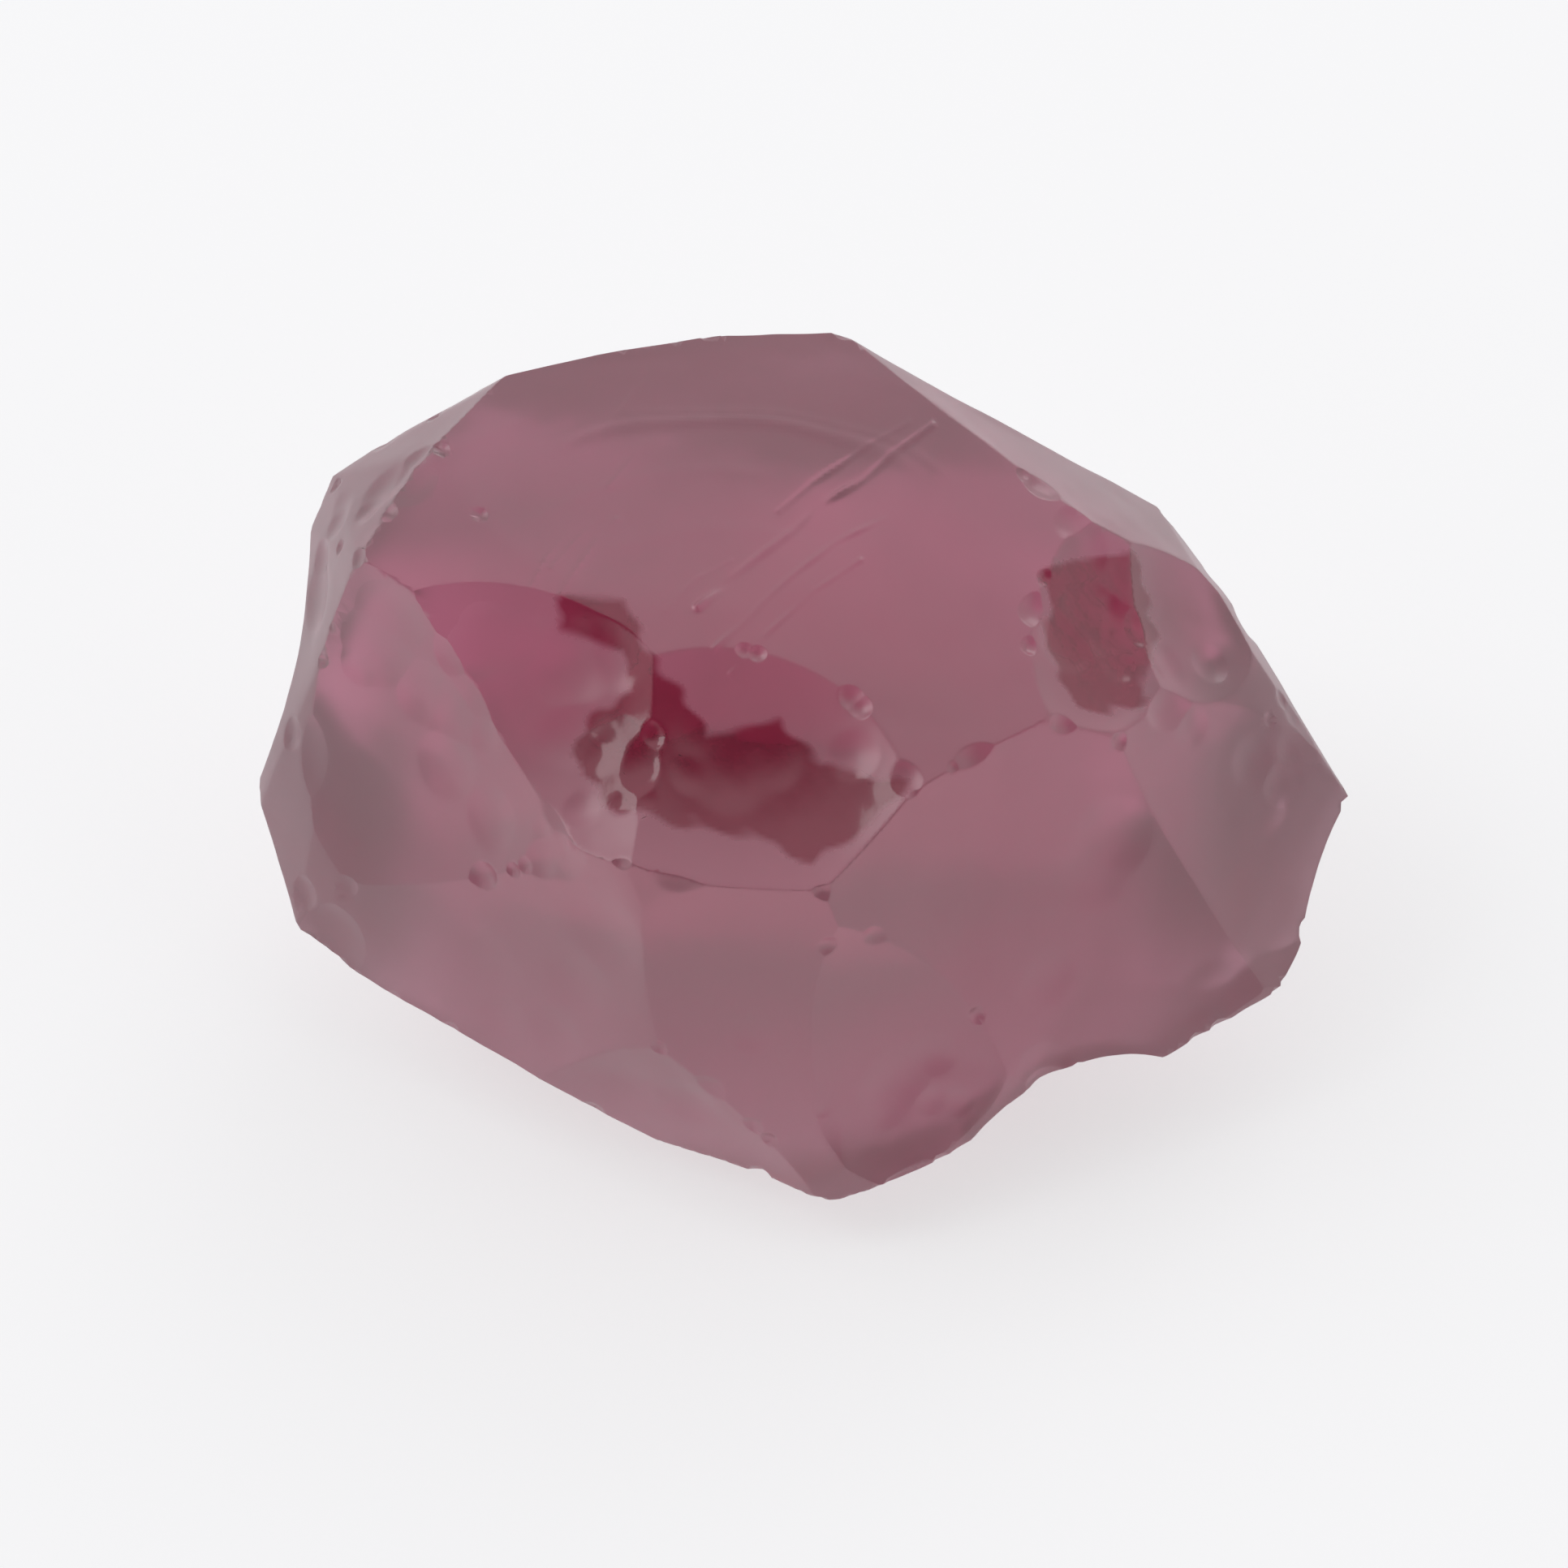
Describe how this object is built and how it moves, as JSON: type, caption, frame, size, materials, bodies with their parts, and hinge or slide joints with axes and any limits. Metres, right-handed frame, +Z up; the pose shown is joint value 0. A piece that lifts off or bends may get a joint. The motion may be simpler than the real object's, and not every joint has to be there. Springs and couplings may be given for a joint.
{
  "type": "rough garnet",
  "caption": "Rough rhodolite garnet crystal, see-through pink to wine red, with shell-shaped breaks and a flat underside.",
  "frame": {"origin": "bottom centre of the stone's bounding box, on the plane that it rests on", "axes": "+Z up from the resting face, +X along the stone's longest side, +Y to the back, away from the face with the lip"},
  "size_m": [0.0132, 0.0091, 0.0067],
  "materials": {
    "rhodolite": "clear, glassy broken faces"
  },
  "bodies": {
    "root": {"garnet": "rhodolite"}
  },
  "joints": []
}
